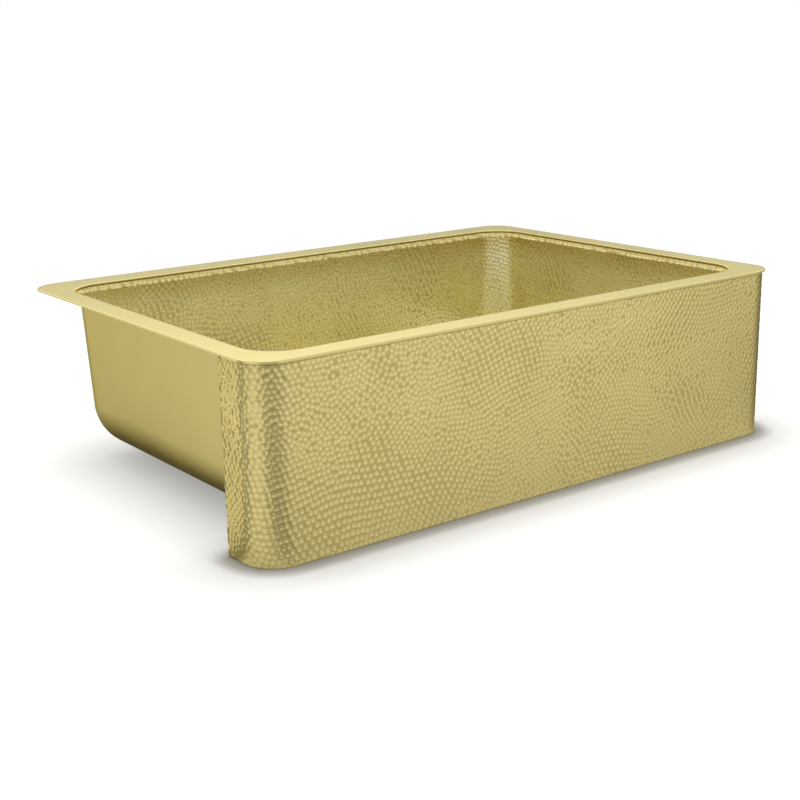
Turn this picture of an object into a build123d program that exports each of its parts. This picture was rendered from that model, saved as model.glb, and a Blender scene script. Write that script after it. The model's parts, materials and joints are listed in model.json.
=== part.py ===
"""Farmhouse apron-front kitchen sink in hammered brass sheet, standing on its own apron.

Frame: X to the right, Y to the back, Z up; the origin is the middle of the footprint, on the floor.
The sink is a brazed sheet-metal assembly: a flat rim frame, a deep bowl hung below it, a hammered
apron skin that wraps round both front corners, and the strips that stiffen the apron from behind.
"""
from build123d import *
from math import cos, radians, sin
import os

# ---- driving dimensions, mm -------------------------------------------------------------------
WIDTH = 838.0                # 33 in over the rim
DEPTH = 584.0                # 23 in over the rim
HEIGHT = 232.0               # rim top above the floor, 9 1/8 in
SHEET = 1.6                  # bowl sheet
APRON_SHEET = 2.0            # the apron is a gauge heavier
RIM_T = 2.0                  # flat rim plate
RIM_CORNER_R = 38.0          # outer corners of the rim
RIM_SIDE = 32.0              # rim width at the sides, front and rear
RIM_FRONT = 33.0
RIM_REAR = 42.0
OPENING_R = 50.0             # inner corners of the rim
RIM_EDGE = 0.7               # bevel filed along the plate's upper edges

SHOULDER_R = 7.6             # inside radius where the wall rolls out under the rim
WALL_SETBACK = 6.5           # wall face inboard of the rim's inner edge
WALL_DRAFT = 1.0             # each wall leans in by this much on its way down to the sweep
CORNER_TOP_R = 43.5          # vertical corner of the bowl, inside, at the rim
FLOOR_SWEEP_R = 62.0         # inside radius from wall to floor
CORNER_FOOT_R = 62.0         # vertical corner at the top of the sweep, which ends in a quarter ball
FLANGE_LAP = 13.0            # bowl flange hidden under the rim plate
SHOULDER_STEPS = 4           # flats round the rolled shoulder

DRAIN_R = 44.5               # 3 1/2 in drain opening
LEDGE_R = 57.0               # pressed seat round the opening
LEDGE_DROP = 6.0             # seat below the floor's lowest point
LEDGE_BREAK = 2.0            # bevel on the sheet's under side, where the floor turns down to the seat
FLOOR_FALL = 8.0             # fall of the floor from its edge to the drain
FALL_LENGTH = 620.0          # outline where the floor starts to fall
FALL_WIDTH = 356.0
FALL_FOOT = 140.0            # level square at the foot of the fall
DRAIN_RING_T = 3.0           # stiffening ring under the seat
DRAIN_RING_R = 58.0

APRON_OVERHANG = 1.0         # rim edge proud of the apron face
APRON_R = 42.0               # bend at each front corner
APRON_EDGE_R = 1.5           # dressed lower edge
RETURN_DEPTH = 75.0          # front of the rim to the rear edge of each side return
BOTTOM_FLANGE_W = 18.0
RETURN_LIP_W = 14.0
STRIP_T = 2.0                # bottom flange, lips, ribs and ties
RIB_FOOT_W = 20.0            # rib flange brazed to the apron
RIB_PITCH = 270.0
RIB_FOOT_Z = 86.0            # ribs end where the bowl starts to curve under
RIB_CLEAR = 12.0             # rib top stays below the bowl's rolled shoulder
TIE_HEIGHTS = (120.0, 200.0)  # ties from each return to the bowl's side wall
TIE_W = 24.0                 # height of one tie tab
TIE_FOOT = 14.0              # length of the tab's foot on the return

# ---- derived ------------------------------------------------------------------------------------
RIM_UNDER = HEIGHT - RIM_T
FRONT_Y = -DEPTH / 2
OPENING_W = WIDTH - 2 * RIM_SIDE
OPENING_D = DEPTH - RIM_FRONT - RIM_REAR
BOWL_Y = (RIM_FRONT - RIM_REAR) / 2            # the bowl's middle, in front of the rim's middle
BOWL_W = OPENING_W - 2 * WALL_SETBACK          # inside, at the rim
BOWL_D = OPENING_D - 2 * WALL_SETBACK
SEAT_Z = DRAIN_RING_T + SHEET                  # top of the drain seat
FALL_FOOT_Z = SEAT_Z + LEDGE_DROP              # inside floor round the seat
FLOOR_Z = FALL_FOOT_Z + FLOOR_FALL             # inside floor at its edge
SWEEP_TOP_Z = FLOOR_Z + FLOOR_SWEEP_R + 0.5    # the wall leans between these two heights
NECK_Z = RIM_UNDER - SHOULDER_R
APRON_W = WIDTH - 2 * APRON_OVERHANG
APRON_FACE_Y = FRONT_Y + APRON_OVERHANG
APRON_BACK_Y = APRON_FACE_Y + APRON_SHEET
RETURN_END_Y = FRONT_Y + RETURN_DEPTH


def slab(width, depth, radius, z0, z1, y=0.0):
    """Upright plate with rounded corners between two heights."""
    outline = Plane.XY.offset(z0) * Pos(0, y) * RectangleRounded(width, depth, radius)
    return extrude(outline, amount=z1 - z0)


def bowl_outline(z, lean, radius):
    """The bowl's plan at height z, leaned in by this much on every side."""
    plan = RectangleRounded(BOWL_W - 2 * lean, BOWL_D - 2 * lean, radius)
    return Plane.XY.offset(z) * Pos(0, BOWL_Y) * plan


def bowl_form(grow):
    """The bowl as a closed form: its hollow at grow 0, its outside at grow SHEET."""
    floor_z = FLOOR_Z - grow
    foot_lean, foot_r = WALL_DRAFT - grow, CORNER_FOOT_R + grow
    pan = extrude(bowl_outline(floor_z, foot_lean, foot_r), amount=SWEEP_TOP_Z - floor_z)
    pan = fillet(pan.edges().group_by(Axis.Z)[0], FLOOR_SWEEP_R + grow)
    sections = [bowl_outline(SWEEP_TOP_Z, foot_lean, foot_r)]
    roll_r = SHOULDER_R - grow
    for step in range(SHOULDER_STEPS + 1):
        turn = radians(90 * step / SHOULDER_STEPS)
        flare = grow + roll_r * (1 - cos(turn))
        sections.append(bowl_outline(NECK_Z + roll_r * sin(turn), -flare, CORNER_TOP_R + flare))
    return pan + loft(sections, ruled=True) + floor_form(floor_z, grow)


def floor_form(floor_z, grow):
    """What lies under the flat floor: four slopes that meet on creases, and the drop to the drain seat."""
    foot_z = floor_z - FLOOR_FALL

    def trough(plane, length):
        """Solid from the floor's level down to the foot of the fall, with a slope at each end."""
        section = Polyline((-length / 2, floor_z), (length / 2, floor_z), (FALL_FOOT / 2, foot_z),
                           (-FALL_FOOT / 2, foot_z), close=True)
        return extrude(plane * make_face(section), amount=FALL_LENGTH, both=True)

    form = Pos(0, BOWL_Y) * (trough(Plane.XZ, FALL_LENGTH) & trough(Plane.YZ, FALL_WIDTH))
    form += Pos(0, BOWL_Y, foot_z - LEDGE_DROP) * Cylinder(
        LEDGE_R + grow, LEDGE_DROP + 1, align=(Align.CENTER, Align.CENTER, Align.MIN))
    seat_edge = [e for e in form.edges().filter_by(GeomType.CIRCLE)
                 if abs(e.radius - LEDGE_R - grow) < 0.01 and abs(e.center().Z - foot_z) < 0.01]
    # a bevel that keeps the sheet's thickness is wider on the sheet's upper side
    return chamfer(seat_edge, LEDGE_BREAK + (SHEET - grow) * (2 - 2 ** 0.5))


def wall_lean(z):
    """How far the bowl's wall has leaned in at height z, between the neck and the sweep."""
    return WALL_DRAFT * (NECK_Z - z) / (NECK_Z - SWEEP_TOP_Z)


def rim_frame():
    """Flat plate frame that carries the bowl and the apron."""
    plate = slab(WIDTH, DEPTH, RIM_CORNER_R, RIM_UNDER, HEIGHT)
    plate -= slab(OPENING_W, OPENING_D, OPENING_R, RIM_UNDER - 1, HEIGHT + 1, BOWL_Y)
    return chamfer(plate.edges().group_by(Axis.Z)[-1], RIM_EDGE)


def bowl_shell():
    """Deep bowl with its out-turned flange, rolled shoulder, falling floor and drain seat."""
    lap = 2 * (WALL_SETBACK + FLANGE_LAP)
    outside = bowl_form(SHEET)
    outside += slab(BOWL_W + lap, BOWL_D + lap, OPENING_R + FLANGE_LAP, RIM_UNDER - SHEET, RIM_UNDER, BOWL_Y)
    shell = outside - bowl_form(0.0)
    shell -= Pos(0, BOWL_Y, 0) * Cylinder(DRAIN_R, 4 * FLOOR_Z)
    return shell


def drain_ring():
    """Flat ring brazed under the drain seat; its face is also what the bowl stands on."""
    ring = Pos(0, BOWL_Y, 0) * Cylinder(DRAIN_RING_R, DRAIN_RING_T,
                                         align=(Align.CENTER, Align.CENTER, Align.MIN))
    return ring - Pos(0, BOWL_Y, 0) * Cylinder(DRAIN_R, 4 * DRAIN_RING_T)


def apron_strip(inner, outer, z0, z1):
    """U-shaped strip that follows the apron's plan, between two depths behind its face."""
    def outline(depth):
        """Solid inside the apron's plan line at this depth behind its face."""
        length = DEPTH + 200
        centre = APRON_FACE_Y + depth + length / 2
        return slab(APRON_W - 2 * depth, length, APRON_R - depth, z0 - 1, z1 + 1, centre)
    band = outline(inner) - outline(outer)
    keep = Pos(0, FRONT_Y, (z0 + z1) / 2) * Box(WIDTH * 2, 2 * RETURN_DEPTH, z1 - z0)
    return band & keep


def apron_skin():
    """Hammered front sheet, wrapped round both corners into short side returns."""
    skin = apron_strip(0.0, APRON_SHEET, 0.0, RIM_UNDER)
    lower_edge = [e for e in skin.edges().group_by(Axis.Z)[0] if on_apron_face(e)]
    return fillet(lower_edge, APRON_EDGE_R)


def on_apron_face(edge):
    """True for an edge on the apron's outer face, round both corners."""
    mid = edge @ 0.5
    corner_y = APRON_FACE_Y + APRON_R
    if mid.Y > corner_y:
        return abs(abs(mid.X) - APRON_W / 2) < 0.1 and edge.length > 2 * APRON_SHEET
    corner_x = APRON_W / 2 - APRON_R
    reach = ((abs(mid.X) - corner_x) ** 2 + (mid.Y - corner_y) ** 2) ** 0.5
    return abs(mid.Y - APRON_FACE_Y) < 0.1 or (abs(mid.X) > corner_x and abs(reach - APRON_R) < 0.1)


def apron_bottom_flange():
    """Level strip inside the apron's lower edge: it stiffens the edge and spreads the load."""
    return apron_strip(APRON_SHEET, APRON_SHEET + BOTTOM_FLANGE_W, 0.0, STRIP_T)


def return_lip(side):
    """Upright strip turned in along the rear edge of one return."""
    x = side * (APRON_W / 2 - APRON_SHEET - RETURN_LIP_W / 2)
    strip = Pos(x, RETURN_END_Y - STRIP_T / 2, (STRIP_T + RIM_UNDER) / 2)
    return strip * Box(RETURN_LIP_W, STRIP_T, RIM_UNDER - STRIP_T)


def apron_rib(x):
    """T-section rib between the apron's back and the bowl's front wall."""
    top_z = RIM_UNDER - RIB_CLEAR

    def wall_y(z):
        """Outside face of the bowl's front wall at height z."""
        return BOWL_Y - BOWL_D / 2 - SHEET + wall_lean(z)

    side_view = Polyline((APRON_BACK_Y, RIB_FOOT_Z), (wall_y(RIB_FOOT_Z), RIB_FOOT_Z),
                         (wall_y(top_z), top_z), (APRON_BACK_Y, top_z), close=True)
    face = Plane.YZ.offset(x - STRIP_T / 2) * make_face(side_view)
    web = extrude(face, amount=STRIP_T)
    foot = Pos(x, APRON_BACK_Y + STRIP_T / 2, (RIB_FOOT_Z + top_z) / 2) * Box(
        RIB_FOOT_W, STRIP_T, top_z - RIB_FOOT_Z)
    return web + foot


def side_tie(side):
    """Two angle tabs that tie one return to the bowl's side wall."""
    tabs = []
    skin_x = APRON_W / 2 - APRON_SHEET
    strap_y = RETURN_END_Y - STRIP_T - TIE_FOOT
    for z in TIE_HEIGHTS:
        wall_x = BOWL_W / 2 + SHEET - wall_lean(z + TIE_W / 2)
        strap = Pos(side * (wall_x + skin_x) / 2, strap_y, z) * Box(skin_x - wall_x, STRIP_T, TIE_W)
        foot = Pos(side * (skin_x - STRIP_T / 2), strap_y + TIE_FOOT / 2, z) * Box(
            STRIP_T, TIE_FOOT, TIE_W)
        tabs.append(strap + foot)
    return Compound(children=tabs)


def build():
    """Every sub-part by node name."""
    parts = {
        "rim_frame": rim_frame(),
        "bowl_shell": bowl_shell(),
        "drain_ring": drain_ring(),
        "apron_skin": apron_skin(),
        "apron_bottom_flange": apron_bottom_flange(),
    }
    for name, side in (("left", -1), ("right", 1)):
        parts["return_lip_" + name] = return_lip(side)
        parts["side_tie_" + name] = side_tie(side)
    for name, x in (("left", -RIB_PITCH), ("centre", 0.0), ("right", RIB_PITCH)):
        parts["apron_rib_" + name] = apron_rib(x)
    return parts


os.makedirs("parts", exist_ok=True)
for node, shape in build().items():
    export_step(shape, f"parts/{node}.step")
    print(f"{node:22s} {len(shape.solids())} solid(s) {shape.volume:12.0f} mm3")
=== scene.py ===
"""The looks of the farmhouse apron-front sink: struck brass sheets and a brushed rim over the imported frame.

Everything is in metres, in the frame's own axes: X to the right, Y to the back, Z up, the origin on the
surface that the sink stands on. The hammered sheets are formed as dense grids, struck with one hammer by a
Geometry Nodes tree, and cut into closed panels of the sheet's thickness.
"""
from __future__ import annotations

import json
import logging
import math
from dataclasses import dataclass, field, fields
from enum import Enum

import bpy
import numpy as np
from mathutils import Matrix, Vector


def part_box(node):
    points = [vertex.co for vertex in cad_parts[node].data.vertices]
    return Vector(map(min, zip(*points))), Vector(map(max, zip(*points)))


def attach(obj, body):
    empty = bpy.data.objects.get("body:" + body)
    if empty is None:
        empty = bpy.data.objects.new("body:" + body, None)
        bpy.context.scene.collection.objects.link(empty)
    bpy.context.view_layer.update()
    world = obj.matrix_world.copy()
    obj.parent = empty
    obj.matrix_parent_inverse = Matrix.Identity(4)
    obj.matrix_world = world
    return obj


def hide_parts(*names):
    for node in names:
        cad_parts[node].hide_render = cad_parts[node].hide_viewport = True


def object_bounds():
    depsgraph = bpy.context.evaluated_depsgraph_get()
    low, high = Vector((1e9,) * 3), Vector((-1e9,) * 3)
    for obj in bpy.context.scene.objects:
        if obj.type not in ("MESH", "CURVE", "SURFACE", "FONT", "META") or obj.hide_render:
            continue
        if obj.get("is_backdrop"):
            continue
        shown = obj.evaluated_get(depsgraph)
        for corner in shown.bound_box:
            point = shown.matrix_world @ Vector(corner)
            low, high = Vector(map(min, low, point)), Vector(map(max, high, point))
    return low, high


MM = 0.001
QUARTER = math.pi / 2                # a quarter of a turn
TINY = 1e-9                          # no length is divided by less than this
WHITE = (1.0, 1.0, 1.0, 1.0)
Grid = np.ndarray
Triple = tuple[float, float, float]

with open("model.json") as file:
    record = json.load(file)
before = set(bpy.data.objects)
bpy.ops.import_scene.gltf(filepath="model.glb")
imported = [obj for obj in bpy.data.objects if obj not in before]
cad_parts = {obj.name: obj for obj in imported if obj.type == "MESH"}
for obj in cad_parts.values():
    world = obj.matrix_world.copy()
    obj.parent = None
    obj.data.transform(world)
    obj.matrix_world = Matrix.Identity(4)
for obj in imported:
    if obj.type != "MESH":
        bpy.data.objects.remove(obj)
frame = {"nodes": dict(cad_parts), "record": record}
CAD_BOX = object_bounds()
LOG = logging.getLogger("sink")


class Metal(Enum):
    """The record's names for the three finishes of brass on the sink."""

    HAMMERED = "brass_hammered"
    BRUSHED = "brass_brushed"
    MILL = "brass_mill"


# ---- wiring ---------------------------------------------------------------------------------------


@dataclass(frozen=True)
class Ramp:
    """A value that goes from first to last while another one goes from start to end, level outside them."""

    start: float
    end: float
    first: float = 0.0
    last: float = 1.0


class Wiring:
    """Adds nodes to one tree and joins them, so that a tree reads as a list of steps."""

    def __init__(self, tree: bpy.types.NodeTree) -> None:
        """Starts on a tree."""
        self.tree = tree

    def add(self, kind: str, inputs: dict | None = None, **settings: object) -> bpy.types.Node:
        """Adds one node.

        Args:
            kind: Blender's name for the node's type.
            inputs: What goes into its sockets, by their name or number: a value or another socket.
            settings: The node's own properties.

        Returns:
            The new node.
        """
        node = self.tree.nodes.new(kind)
        for name, value in settings.items():
            setattr(node, name, value)
        for key, value in (inputs or {}).items():
            self.feed(node.inputs[key], value)
        return node

    def feed(self, socket: bpy.types.NodeSocket, value: object) -> None:
        """Links a socket to another socket, or sets it to a plain value.

        Args:
            socket: The input that is fed.
            value: The other socket, or the value.
        """
        if isinstance(value, bpy.types.NodeSocket):
            self.tree.links.new(value, socket)
        else:
            socket.default_value = value

    def calc(self, operation: str, *values: object) -> bpy.types.NodeSocket:
        """Returns the result of one Math node."""
        return self.add("ShaderNodeMath", dict(enumerate(values)), operation=operation).outputs[0]

    def vector(self, operation: str, *values: object, output: int | str = 0) -> bpy.types.NodeSocket:
        """Returns a result of one Vector Math node."""
        return self.add("ShaderNodeVectorMath", dict(enumerate(values)), operation=operation).outputs[output]

    def scaled(self, vector: object, factor: object) -> bpy.types.NodeSocket:
        """Returns a vector times a factor."""
        return self.add("ShaderNodeVectorMath", {0: vector, "Scale": factor}, operation="SCALE").outputs[0]

    def parts(self, vector: bpy.types.NodeSocket) -> bpy.types.bpy_prop_collection:
        """Returns the sockets of a vector's X, Y and Z."""
        return self.add("ShaderNodeSeparateXYZ", {0: vector}).outputs


class ShaderWiring(Wiring):
    """Wiring with the short cuts that the materials use."""

    def noise(self, place: bpy.types.NodeSocket, size: float, stretch: Triple = (1, 1, 1),
              turn: Triple = (0, 0, 0), detail: float = 2.0) -> bpy.types.NodeSocket:
        """Noise fixed to the object, in real sizes.

        Args:
            place: The coordinates that it reads.
            size: The size of one blotch, in metres.
            stretch: How many times longer than that a blotch is along each turned axis.
            turn: How the axes are turned, in radians.
            detail: Octaves of finer noise on top.

        Returns:
            A socket with a value around 0.5.
        """
        turned = self.add("ShaderNodeVectorRotate", {"Vector": place, "Rotation": turn},
                          rotation_type="EULER_XYZ").outputs[0]
        squeezed = self.vector("MULTIPLY", turned, tuple(1 / s for s in stretch))
        return self.add("ShaderNodeTexNoise", {"Vector": squeezed, "Scale": 1 / size, "Detail": detail}
                        ).outputs["Fac"]

    def ramp(self, value: bpy.types.NodeSocket, ramp: Ramp) -> bpy.types.NodeSocket:
        """Returns where a ramp is at a value."""
        return self.add("ShaderNodeMapRange", {"Value": value, "From Min": ramp.start, "From Max": ramp.end,
                                               "To Min": ramp.first, "To Max": ramp.last}).outputs[0]

    def blend(self, share: object, first: object, second: object, how: str = "MIX") -> bpy.types.NodeSocket:
        """Mixes two colours.

        Args:
            share: How much of the second colour goes in.
            first: A colour or a socket.
            second: The same.
            how: The way of mixing.

        Returns:
            The mixed colour.
        """
        mix = self.add("ShaderNodeMix", data_type="RGBA", blend_type=how)
        self.feed(mix.inputs["Factor"], share)
        for name, value in (("A", first), ("B", second)):
            self.feed(next(s for s in mix.inputs if s.name == name and s.type == "RGBA"), value)
        return next(s for s in mix.outputs if s.type == "RGBA")


def tint(colour: Triple, factor: float = 1.0) -> tuple[float, float, float, float]:
    """Returns a colour made lighter or darker, with its alpha."""
    return (*(min(1.0, c * factor) for c in colour), 1.0)


def blank_tree(owner: bpy.types.Material | bpy.types.World) -> ShaderWiring:
    """Clears the nodes of a material or world.

    Args:
        owner: The material or world.

    Returns:
        The wiring of its empty tree.
    """
    owner.use_nodes = True
    owner.node_tree.nodes.clear()
    return ShaderWiring(owner.node_tree)


# ---- finishes -------------------------------------------------------------------------------------


@dataclass(frozen=True)
class Brass:
    """Bare satin brass, and what every finish on the sink shares."""

    colour: Triple = (0.70, 0.61, 0.285)
    edge: Triple = (0.95, 0.86, 0.52)            # at a glancing angle, as a share of white
    roughness: float = 0.30
    blotch: float = 0.060            # size of the faint cloudiness, metres
    blotch_detail: float = 3.0
    grain: float = 0.0006            # size of the finest scratches, metres
    grain_stretch: Triple = (1.0, 1.0, 1.0)
    grain_turn: Triple = (0.0, 0.0, 0.0)
    grain_depth: float = 0.00002     # metres
    cloud_share: float = 0.7         # of the cloudiness in the shade; the scratches give the rest
    unevenness: float = 0.04         # how much lighter and darker the shade turns the colour,
    patchiness: float = 0.12         # and how much rougher and smoother the surface
    middle: tuple[float, float] = (0.3, 0.7)     # where nearly all of the noise lies

    def surface(self, wiring: ShaderWiring, place: bpy.types.NodeSocket) -> dict[str, bpy.types.NodeSocket]:
        """Wires the colour, roughness and scratches.

        Args:
            wiring: The material's wiring.
            place: The object's own coordinates.

        Returns:
            What goes into each socket of the shader.
        """
        cloud = wiring.noise(place, self.blotch, detail=self.blotch_detail)
        grain = wiring.noise(place, self.grain, self.grain_stretch, self.grain_turn)
        shade = wiring.calc("ADD", wiring.calc("MULTIPLY", cloud, self.cloud_share),
                            wiring.calc("MULTIPLY", grain, 1 - self.cloud_share))
        colour = wiring.blend(wiring.ramp(shade, Ramp(*self.middle)), tint(self.colour, 1 - self.unevenness),
                              tint(self.colour, 1 + self.unevenness))
        rough = wiring.ramp(shade, Ramp(*self.middle, self.roughness * (1 - self.patchiness),
                                        self.roughness * (1 + self.patchiness)))
        bump = wiring.add("ShaderNodeBump", {"Height": grain, "Distance": self.grain_depth, "Strength": 1.0})
        return {"Base Color": colour, "Roughness": rough, "Normal": bump.outputs[0]}

    def material(self, name: str) -> bpy.types.Material:
        """Makes the finish.

        Args:
            name: The material's name.

        Returns:
            The new material.
        """
        made = bpy.data.materials.new(name)
        wiring = blank_tree(made)
        place = wiring.add("ShaderNodeTexCoord").outputs["Object"]
        shader = wiring.add("ShaderNodeBsdfPrincipled", {"Metallic": 1.0, "Specular Tint": tint(self.edge),
                                                         **self.surface(wiring, place)})
        wiring.add("ShaderNodeOutputMaterial", {"Surface": shader.outputs[0]})
        return made


@dataclass(frozen=True)
class StruckBrass(Brass):
    """Brass under the hammer: each blow burnishes its hollow, and the crests between stay rougher, with
    painted shade.
    """

    crest: Triple = (0.78, 0.76, 0.68)           # painted shade on a crest: its colour as a share of the plain one
    crest_roughness: float = 0.10    # how much rougher a crest is
    crest_mark: float = 0.42         # how deep in a mark a crest ends,
    hollow_mark: float = 0.80        # and the burnished hollow starts

    def surface(self, wiring: ShaderWiring, place: bpy.types.NodeSocket) -> dict[str, bpy.types.NodeSocket]:
        """Roughens the crests of the plain finish and paints shade on them.

        Args:
            wiring: The material's wiring.
            place: The object's own coordinates.

        Returns:
            What goes into each socket of the shader.
        """
        sockets = super().surface(wiring, place)
        mark = wiring.add("ShaderNodeAttribute", attribute_name="mark").outputs["Fac"]
        burnished_and_lit = wiring.ramp(mark, Ramp(self.crest_mark, self.hollow_mark))
        # painted shade: the crests between the marks are coloured darker
        crest_painted_shade = wiring.blend(burnished_and_lit, tint(self.crest), WHITE)
        duller = wiring.ramp(burnished_and_lit, Ramp(0.0, 1.0, self.crest_roughness, 0.0))
        sockets["Base Color"] = wiring.blend(1.0, sockets["Base Color"], crest_painted_shade, "MULTIPLY")
        sockets["Roughness"] = wiring.calc("ADD", sockets["Roughness"], duller)
        return sockets


@dataclass(frozen=True)
class HeightShadedBrass(StruckBrass):
    """Struck brass with painted light: paler deep in the bowl to brighten its shaded inside, golden near the
    rim.
    """

    pale: Triple = (0.92, 0.895, 0.66)
    edge_z: tuple[float, float] = (0.190, 0.220)     # painted light: pale below the first height, golden above the second

    def surface(self, wiring: ShaderWiring, place: bpy.types.NodeSocket) -> dict[str, bpy.types.NodeSocket]:
        """Paints light into the struck finish: paler with depth.

        Args:
            wiring: The material's wiring.
            place: The object's own coordinates.

        Returns:
            What goes into each socket of the shader.
        """
        sockets = super().surface(wiring, place)
        # painted light: the colour is lifted paler deep in the bowl and stays golden near the rim
        deep_painted_light = (*(p / c for p, c in zip(self.pale, self.colour)), 1.0)
        golden = wiring.ramp(wiring.parts(place)["Z"], Ramp(*self.edge_z))
        sockets["Base Color"] = wiring.blend(1.0, sockets["Base Color"], wiring.blend(golden, deep_painted_light, WHITE),
                                             "MULTIPLY")
        return sockets


# ---- hammer ---------------------------------------------------------------------------------------


@dataclass(frozen=True)
class Hammer:
    """One planishing hammer and the hand that swings it."""

    pitch: float = 6.8 * MM          # from one blow to the next
    row_pitch: float = 5.8 * MM      # from one row of blows to the next
    depth: float = 1.15 * MM
    reach: float = 0.68              # radius of a full mark, as a share of the pitch
    sink: float = 0.75               # how deep the sheet lies where it isn't struck, as a share of the depth
    jitter: float = 0.16             # how far a blow strays, as a share of the pitch
    crowding: float = 0.66           # two blows nearer than this share of the pitch are one
    drift: float = 0.034             # how far a whole row wanders, metres
    drift_size: float = 0.22         # over what length it wanders, metres
    evening: int = 40                # times that crowded blows are moved apart
    swell: float = 0.25 * MM         # what the blows do to the sheet's flatness
    swell_size: float = 0.11
    seed: int = 7

    def settings(self) -> dict[str, float]:
        """Returns the sizes, by their names as inputs of the tree."""
        return {size.name.replace("_", " ").title(): getattr(self, size.name) for size in fields(self)}


class BlowTree(Wiring):
    """The tree that strikes a sheet: a lattice of blows laid on it, and a hollow pressed under each."""

    noise_swing: float = 4.0         # noise strays about a quarter from its middle, so this makes it one
    softening: float = 0.35          # how much a point of a hollow takes from the points beside it

    def __init__(self) -> None:
        """Builds the tree."""
        super().__init__(bpy.data.node_groups.new("hammer_blows", "GeometryNodeTree"))
        inputs = {"Sheet": "Geometry", "Width": "Float", "Height": "Float", "Corner": "Vector",
                  "Brass": "Material"}
        for name, value in Hammer().settings().items():
            inputs[name] = "Int" if isinstance(value, int) else "Float"
        for name, kind in inputs.items():
            self.tree.interface.new_socket(name=name, in_out="INPUT", socket_type="NodeSocket" + kind)
        self.tree.interface.new_socket(name="Sheet", in_out="OUTPUT", socket_type="NodeSocketGeometry")
        self.given = self.add("NodeGroupInput").outputs
        self.here = self.add("GeometryNodeInputPosition").outputs[0]
        struck = self.struck(self.carried(self.evened(self.laid())))
        smooth = self.add("GeometryNodeSetShadeSmooth", {"Geometry": struck}).outputs[0]
        real = self.add("GeometryNodeRealizeInstances", {"Geometry": smooth}).outputs[0]
        dressed = self.add("GeometryNodeSetMaterial", {"Geometry": real, "Material": self.given["Brass"]})
        self.add("NodeGroupOutput", {0: dressed.outputs[0]})

    def named(self, name: str, kind: str) -> bpy.types.NodeSocket:
        """Returns what the geometry carries under a name."""
        return self.add("GeometryNodeInputNamedAttribute", {"Name": name}, data_type=kind
                        ).outputs["Attribute"]

    def stored(self, geometry: bpy.types.NodeSocket, name: str, kind: str,
               value: bpy.types.NodeSocket) -> bpy.types.NodeSocket:
        """Returns the geometry with a value stored on each point under a name."""
        inputs = {"Geometry": geometry, "Name": name, "Value": value}
        return self.add("GeometryNodeStoreNamedAttribute", inputs, data_type=kind, domain="POINT").outputs[0]

    def laid(self) -> bpy.types.NodeSocket:
        """Lays staggered rows of blows on the flat sheet, each a little astray.

        Returns:
            One point for each blow.
        """
        given = self.given
        lattice = self.add("GeometryNodeMeshGrid", {
            "Size X": given["Width"], "Size Y": given["Height"],
            "Vertices X": self.calc("DIVIDE", given["Width"], given["Pitch"]),
            "Vertices Y": self.calc("DIVIDE", given["Height"], given["Row Pitch"])})
        row = self.calc("ROUND", self.calc("DIVIDE", self.parts(self.here)["Y"], given["Row Pitch"]))
        odd = self.calc("FLOORED_MODULO", row, 2.0)
        half_pitch = self.calc("MULTIPLY", self.calc("MULTIPLY", odd, 0.5), given["Pitch"])
        stagger = self.add("ShaderNodeCombineXYZ", {"X": half_pitch}).outputs[0]
        size = self.add("ShaderNodeCombineXYZ", {"X": given["Width"], "Y": given["Height"]}).outputs[0]
        flat = self.vector("ADD", self.vector("ADD", self.here, self.scaled(size, 0.5)), given["Corner"])
        flat = self.vector("ADD", flat, stagger)
        random = self.add("FunctionNodeRandomValue", {"Min": (-1.0, -1.0, 0.0), "Max": (1.0, 1.0, 0.0),
                                                      "Seed": given["Seed"]}, data_type="FLOAT_VECTOR")
        stray = self.scaled(random.outputs["Value"], self.calc("MULTIPLY", given["Pitch"], given["Jitter"]))
        wander = self.add("ShaderNodeTexNoise", {"Vector": flat, "Detail": 1.0,
                                                 "Scale": self.calc("DIVIDE", 1.0, given["Drift Size"])})
        centred = self.vector("SUBTRACT", wander.outputs["Color"], (0.5, 0.5, 0.5))
        drift = self.scaled(centred, self.calc("MULTIPLY", given["Drift"], self.noise_swing))
        blow = self.vector("ADD", self.vector("ADD", flat, stray), drift)
        moved = self.add("GeometryNodeSetPosition", {"Geometry": lattice.outputs["Mesh"], "Position": blow})
        loose = self.add("GeometryNodeMeshToPoints", {"Mesh": moved.outputs[0]})
        crowd = self.calc("MULTIPLY", given["Pitch"], given["Crowding"])
        return self.add("GeometryNodeMergeByDistance", {"Geometry": loose.outputs[0], "Distance": crowd}
                        ).outputs[0]

    def evened(self, blows: bpy.types.NodeSocket) -> bpy.types.NodeSocket:
        """Moves blows that crowd each other apart, again and again, as the eye does while working.

        Args:
            blows: One point for each blow, on the flat sheet.

        Returns:
            The same points, more evenly spread.
        """
        start = self.add("GeometryNodeRepeatInput")
        end = self.add("GeometryNodeRepeatOutput")
        start.pair_with_output(end)
        self.feed(start.inputs["Iterations"], self.given["Evening"])
        self.feed(start.inputs["Geometry"], blows)
        nearest = self.add("GeometryNodeIndexOfNearest").outputs["Index"]
        other = self.add("GeometryNodeFieldAtIndex", {"Index": nearest}, data_type="FLOAT_VECTOR",
                         domain="POINT")
        self.feed(next(i for i in other.inputs if i.name == "Value" and i.enabled), self.here)
        apart = self.vector("SUBTRACT", self.here, next(o for o in other.outputs if o.enabled))
        gap = self.vector("LENGTH", apart, output="Value")
        short = self.calc("MAXIMUM", self.calc("SUBTRACT", self.given["Pitch"], gap), 0.0)
        step = self.scaled(self.vector("NORMALIZE", apart), self.calc("MULTIPLY", short, 0.5))
        moved = self.add("GeometryNodeSetPosition", {"Geometry": start.outputs["Geometry"], "Offset": step})
        self.feed(end.inputs["Geometry"], moved.outputs[0])
        return end.outputs["Geometry"]

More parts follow.
